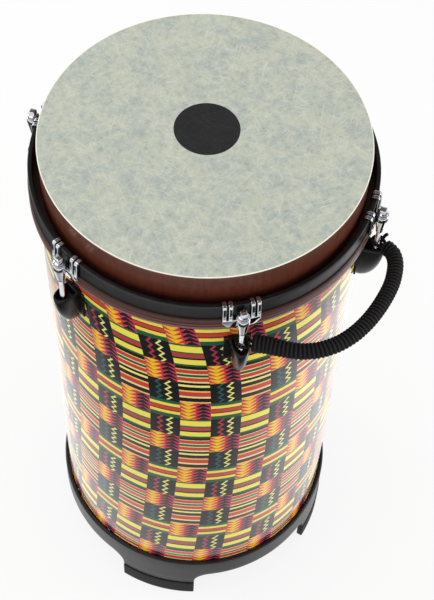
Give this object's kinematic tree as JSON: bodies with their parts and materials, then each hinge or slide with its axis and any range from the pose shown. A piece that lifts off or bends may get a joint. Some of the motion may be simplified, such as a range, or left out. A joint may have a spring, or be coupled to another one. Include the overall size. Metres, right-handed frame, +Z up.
{
  "type": "conga drum",
  "caption": "Tall tubular hand drum with a flat playing head, steel counter hoop with tuning claws, rope carrying handle, printed shell and a footed base ring.",
  "frame": {"origin": "on the floor, on the drum's axis", "axes": "+Z up along the drum's axis, +X through the middle of the rope handle"},
  "size_m": [0.3936, 0.3722, 0.711],
  "materials": {
    "printed_shell": "glossy woven-stripe print in yellow, red, green and black under clear lacquer",
    "base_plastic": "satin black",
    "rubber": "matte black",
    "head_skin": "mottled grey-green skin texture with fine pale scratches",
    "hoop_wood": "dark red-brown stain, satin lacquer",
    "black_steel": "gloss black powder coat",
    "chrome": "polished",
    "zinc_steel": "zinc plated",
    "lug_plastic": "satin black",
    "rope": "black rope wound with thin cord"
  },
  "bodies": {
    "drum": {"shell": "printed_shell", "base_ring": "base_plastic", "foot_pad_1": "rubber", "foot_pad_2": "rubber", "foot_pad_3": "rubber", "foot_pad_4": "rubber", "head_film": "head_skin", "lug_1": "lug_plastic", "lug_2": "lug_plastic", "lug_3": "lug_plastic", "lug_4": "lug_plastic", "lug_5": "lug_plastic", "lug_6": "lug_plastic", "lug_nut_1": "zinc_steel", "lug_nut_2": "zinc_steel", "lug_nut_3": "zinc_steel", "lug_nut_4": "zinc_steel", "lug_nut_5": "zinc_steel", "lug_nut_6": "zinc_steel", "lug_screw_1": "zinc_steel", "lug_screw_2": "zinc_steel", "lug_screw_3": "zinc_steel", "lug_screw_4": "zinc_steel", "lug_screw_5": "zinc_steel", "lug_screw_6": "zinc_steel"},
    "hoops": {"head_hoop": "hoop_wood", "counter_hoop": "black_steel", "claw_1": "chrome", "claw_2": "chrome", "claw_3": "chrome", "claw_4": "chrome", "claw_5": "chrome", "claw_6": "chrome", "washer_1": "zinc_steel", "washer_2": "zinc_steel", "washer_3": "zinc_steel", "washer_4": "zinc_steel", "washer_5": "zinc_steel", "washer_6": "zinc_steel"},
    "bolt_1": {"tuning_bolt_1": "chrome"},
    "bolt_2": {"tuning_bolt_2": "chrome"},
    "bolt_3": {"tuning_bolt_3": "chrome"},
    "bolt_4": {"tuning_bolt_4": "chrome"},
    "bolt_5": {"tuning_bolt_5": "chrome"},
    "bolt_6": {"tuning_bolt_6": "chrome"},
    "handle": {"handle_grip": "rope", "handle_eye_front": "rope", "handle_eye_rear": "rope"}
  },
  "joints": [
    {"name": "head_tension", "type": "slide", "parent": "drum", "child": "hoops", "axis": [0, 0, -1], "range_m": [0, 0.0024]},
    {"name": "bolt_1_turn", "type": "hinge", "parent": "hoops", "child": "bolt_1", "pos_m": [0.15294, 0.0883, 0.66], "axis": [0, 0, -1], "range_deg": [0, 1080]},
    {"name": "bolt_2_turn", "type": "hinge", "parent": "hoops", "child": "bolt_2", "pos_m": [0, 0.1766, 0.66], "axis": [0, 0, -1], "range_deg": [0, 1080]},
    {"name": "bolt_3_turn", "type": "hinge", "parent": "hoops", "child": "bolt_3", "pos_m": [-0.15294, 0.0883, 0.66], "axis": [0, 0, -1], "range_deg": [0, 1080]},
    {"name": "bolt_4_turn", "type": "hinge", "parent": "hoops", "child": "bolt_4", "pos_m": [-0.15294, -0.0883, 0.66], "axis": [0, 0, -1], "range_deg": [0, 1080]},
    {"name": "bolt_5_turn", "type": "hinge", "parent": "hoops", "child": "bolt_5", "pos_m": [0, -0.1766, 0.66], "axis": [0, 0, -1], "range_deg": [0, 1080]},
    {"name": "bolt_6_turn", "type": "hinge", "parent": "hoops", "child": "bolt_6", "pos_m": [0.15294, -0.0883, 0.66], "axis": [0, 0, -1], "range_deg": [0, 1080]},
    {"name": "handle_swing", "type": "hinge", "parent": "drum", "child": "handle", "pos_m": [0.14894, 0, 0.6285], "axis": [0, -1, 0], "range_deg": [-5, 24]}
  ],
  "couplings": [
    {"joint": "bolt_1_turn", "follows": "head_tension", "rad_per_m": 7854},
    {"joint": "bolt_2_turn", "follows": "head_tension", "rad_per_m": 7854},
    {"joint": "bolt_3_turn", "follows": "head_tension", "rad_per_m": 7854},
    {"joint": "bolt_4_turn", "follows": "head_tension", "rad_per_m": 7854},
    {"joint": "bolt_5_turn", "follows": "head_tension", "rad_per_m": 7854},
    {"joint": "bolt_6_turn", "follows": "head_tension", "rad_per_m": 7854}
  ]
}
